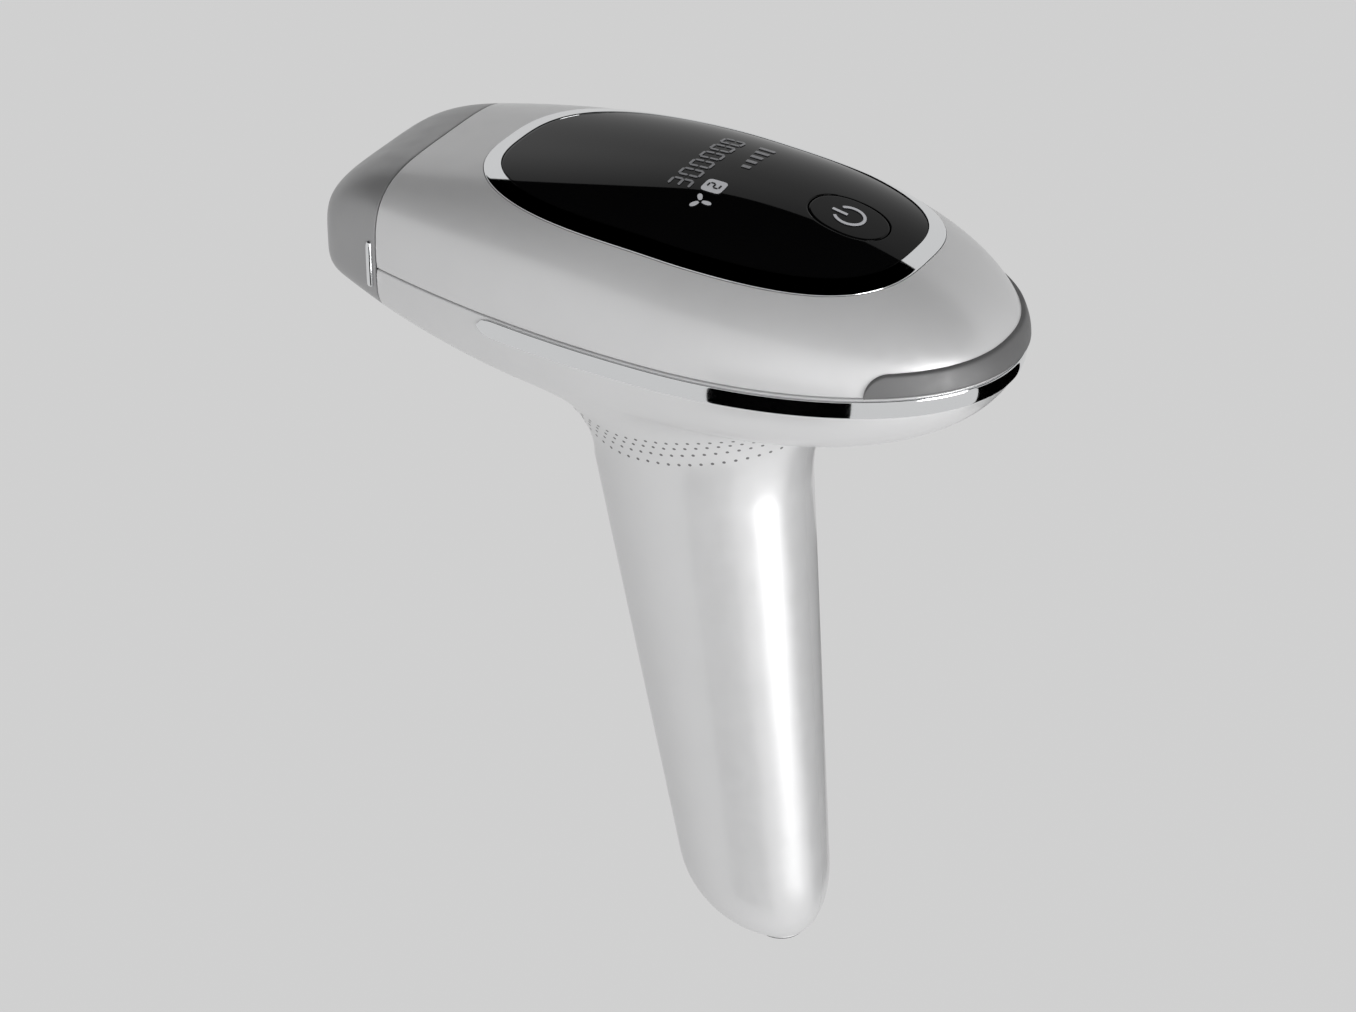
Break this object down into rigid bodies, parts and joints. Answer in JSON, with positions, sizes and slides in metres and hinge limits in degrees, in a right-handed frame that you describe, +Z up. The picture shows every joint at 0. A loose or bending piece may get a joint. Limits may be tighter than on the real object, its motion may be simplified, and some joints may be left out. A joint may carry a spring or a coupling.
{
  "type": "flash hair remover",
  "caption": "Hand-held flash hair remover: egg-shaped head on a leaning grip, removable lamp cartridge, domed display, power button, trigger and cooling fan.",
  "frame": {"origin": "on the grip's axis, 80 mm below the parting plane of the head, where the hand holds it", "axes": "+Z up towards the head, -X towards the nose with the lamp window, Y across the head"},
  "size_m": [0.1492, 0.0756, 0.1803],
  "materials": {
    "pearl_shell": "pearl white lacquered ABS",
    "cartridge_grey": "satin grey moulded plastic",
    "chrome_trim": "bright chrome plating",
    "satin_grey": "fine satin grey plastic",
    "gloss_black": "piano black acrylic",
    "display_white": "white printed marks",
    "dark_plastic": "dark moulded plastic",
    "board_green": "solder-masked board",
    "ivory_plastic": "ivory moulded plastic",
    "amber_glass": "amber filter glass",
    "clear_glass": "clear quartz",
    "bright_metal": "bright machined metal",
    "copper_wire": "copper and brass",
    "ferrite": "sintered ferrite",
    "capacitor_sleeve": "dark heat-shrink sleeve",
    "red_wire": "soft insulated wire",
    "black_wire": "soft insulated wire"
  },
  "bodies": {
    "housing": {"top_cover": "pearl_shell", "body_left": "pearl_shell", "body_right": "pearl_shell", "parting_gasket": "dark_plastic", "trim_strip": "chrome_trim", "tail_insert": "satin_grey", "display_bezel": "chrome_trim", "display_lens": "gloss_black", "display_digits": "display_white", "display_bars": "display_white", "display_icons": "display_white", "button_switch": "dark_plastic", "display_module": "dark_plastic", "display_board": "board_green", "bulkhead": "dark_plastic", "lamp_socket": "ivory_plastic", "socket_sleeves": "copper_wire", "heat_sink": "bright_metal", "thermal_switch": "dark_plastic", "air_duct": "dark_plastic", "fan_frame": "dark_plastic", "fan_motor": "copper_wire", "main_board": "board_green", "transformer_core": "ferrite", "transformer_winding": "copper_wire", "trigger_coil": "ivory_plastic", "power_transistors": "dark_plastic", "board_standoffs": "ivory_plastic", "flash_capacitor": "capacitor_sleeve", "capacitor_clips": "ivory_plastic", "trigger_switch": "dark_plastic", "trigger_board": "board_green", "handle_bosses": "ivory_plastic", "housing_screws": "bright_metal", "dc_inlet": "dark_plastic", "inlet_pin": "bright_metal", "inlet_board": "board_green", "lamp_wires": "red_wire", "supply_wires": "black_wire"},
    "lamp_cartridge": {"nose_shell": "cartridge_grey", "window_frame": "dark_plastic", "filter_glass": "amber_glass", "flash_tube": "clear_glass", "tube_electrodes": "bright_metal", "reflector": "bright_metal", "lamp_holder": "ivory_plastic", "cartridge_plate": "cartridge_grey", "cartridge_plug": "dark_plastic", "plug_pins": "copper_wire", "skin_sensors": "chrome_trim", "release_ribs": "chrome_trim"},
    "power_button": {"button_cap": "gloss_black", "button_stem": "dark_plastic", "power_symbol": "display_white"},
    "flash_trigger": {"trigger_cap": "gloss_black", "trigger_plunger": "ivory_plastic"},
    "fan_rotor": {"fan_impeller": "dark_plastic", "fan_axle": "bright_metal"}
  },
  "joints": [
    {"name": "cartridge_slide", "type": "slide", "parent": "housing", "child": "lamp_cartridge", "axis": [-1, 0, 0], "range_m": [0, 0.03]},
    {"name": "button_press", "type": "slide", "parent": "housing", "child": "power_button", "axis": [-0.2177, 0, -0.976], "range_m": [0, 0.0006], "stiffness_N_per_m": 900, "springref_m": -0.0008},
    {"name": "trigger_press", "type": "slide", "parent": "housing", "child": "flash_trigger", "axis": [0.9905, 0, 0.1378], "range_m": [0, 0.001], "stiffness_N_per_m": 900, "springref_m": -0.001},
    {"name": "fan_spin", "type": "hinge", "parent": "housing", "child": "fan_rotor", "pos_m": [-0.034, 0, 0.0755], "axis": [1, 0, 0], "continuous": true}
  ]
}
